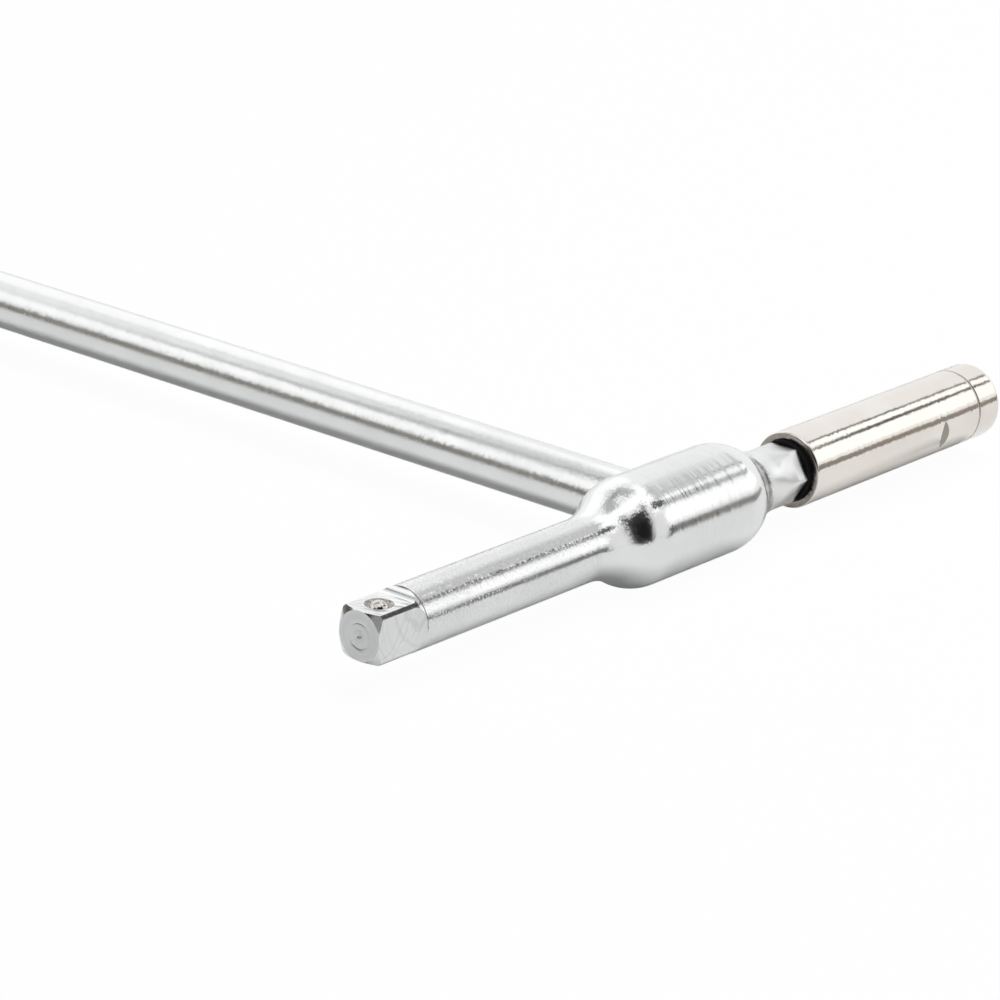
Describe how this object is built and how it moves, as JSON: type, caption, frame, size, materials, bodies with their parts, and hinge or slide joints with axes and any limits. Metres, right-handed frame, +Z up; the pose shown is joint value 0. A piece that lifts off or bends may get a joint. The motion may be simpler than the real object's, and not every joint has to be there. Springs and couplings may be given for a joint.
{
  "type": "drive bar",
  "caption": "T-shaped drive bar: a long round bar pressed into a forged crosshead, with a square drive and detent ball on one arm and a pull-off sleeve for hexagon bits on the other.",
  "frame": {"origin": "centre of the end face of the square drive", "axes": "-X points out of the square drive along the drive axis, +Y runs along the bar to its free end, and +Z is up, through the detent ball"},
  "size_m": [0.1905, 0.311, 0.022],
  "materials": {
    "satin_chrome": "satin chrome plating on a forging",
    "bar_chrome": "satin chrome plating on ground bar",
    "ball_steel": "polished bearing steel",
    "spring_steel": "drawn spring wire",
    "black_rubber": "matt black rubber",
    "warm_nickel": "polished warm nickel plating",
    "magnet_plating": "bright plating on a pressed magnet",
    "clip_wire": "dark spring wire"
  },
  "bodies": {
    "crosshead": {"crosshead": "satin_chrome", "bar": "bar_chrome", "drive_spring": "spring_steel", "arm_band": "black_rubber"},
    "drive_ball": {"drive_ball": "ball_steel"},
    "sleeve": {"sleeve": "warm_nickel", "bit_magnet": "magnet_plating", "bit_clip": "clip_wire"}
  },
  "joints": [
    {"name": "ball_press", "type": "slide", "parent": "crosshead", "child": "drive_ball", "axis": [0, 0, -1], "range_m": [0, 0.00066], "stiffness_N_per_m": 4000, "springref_m": -0.001, "deforming": ["drive_spring"]},
    {"name": "sleeve_pull", "type": "slide", "parent": "crosshead", "child": "sleeve", "axis": [1, 0, 0], "range_m": [0, 0.026]}
  ]
}
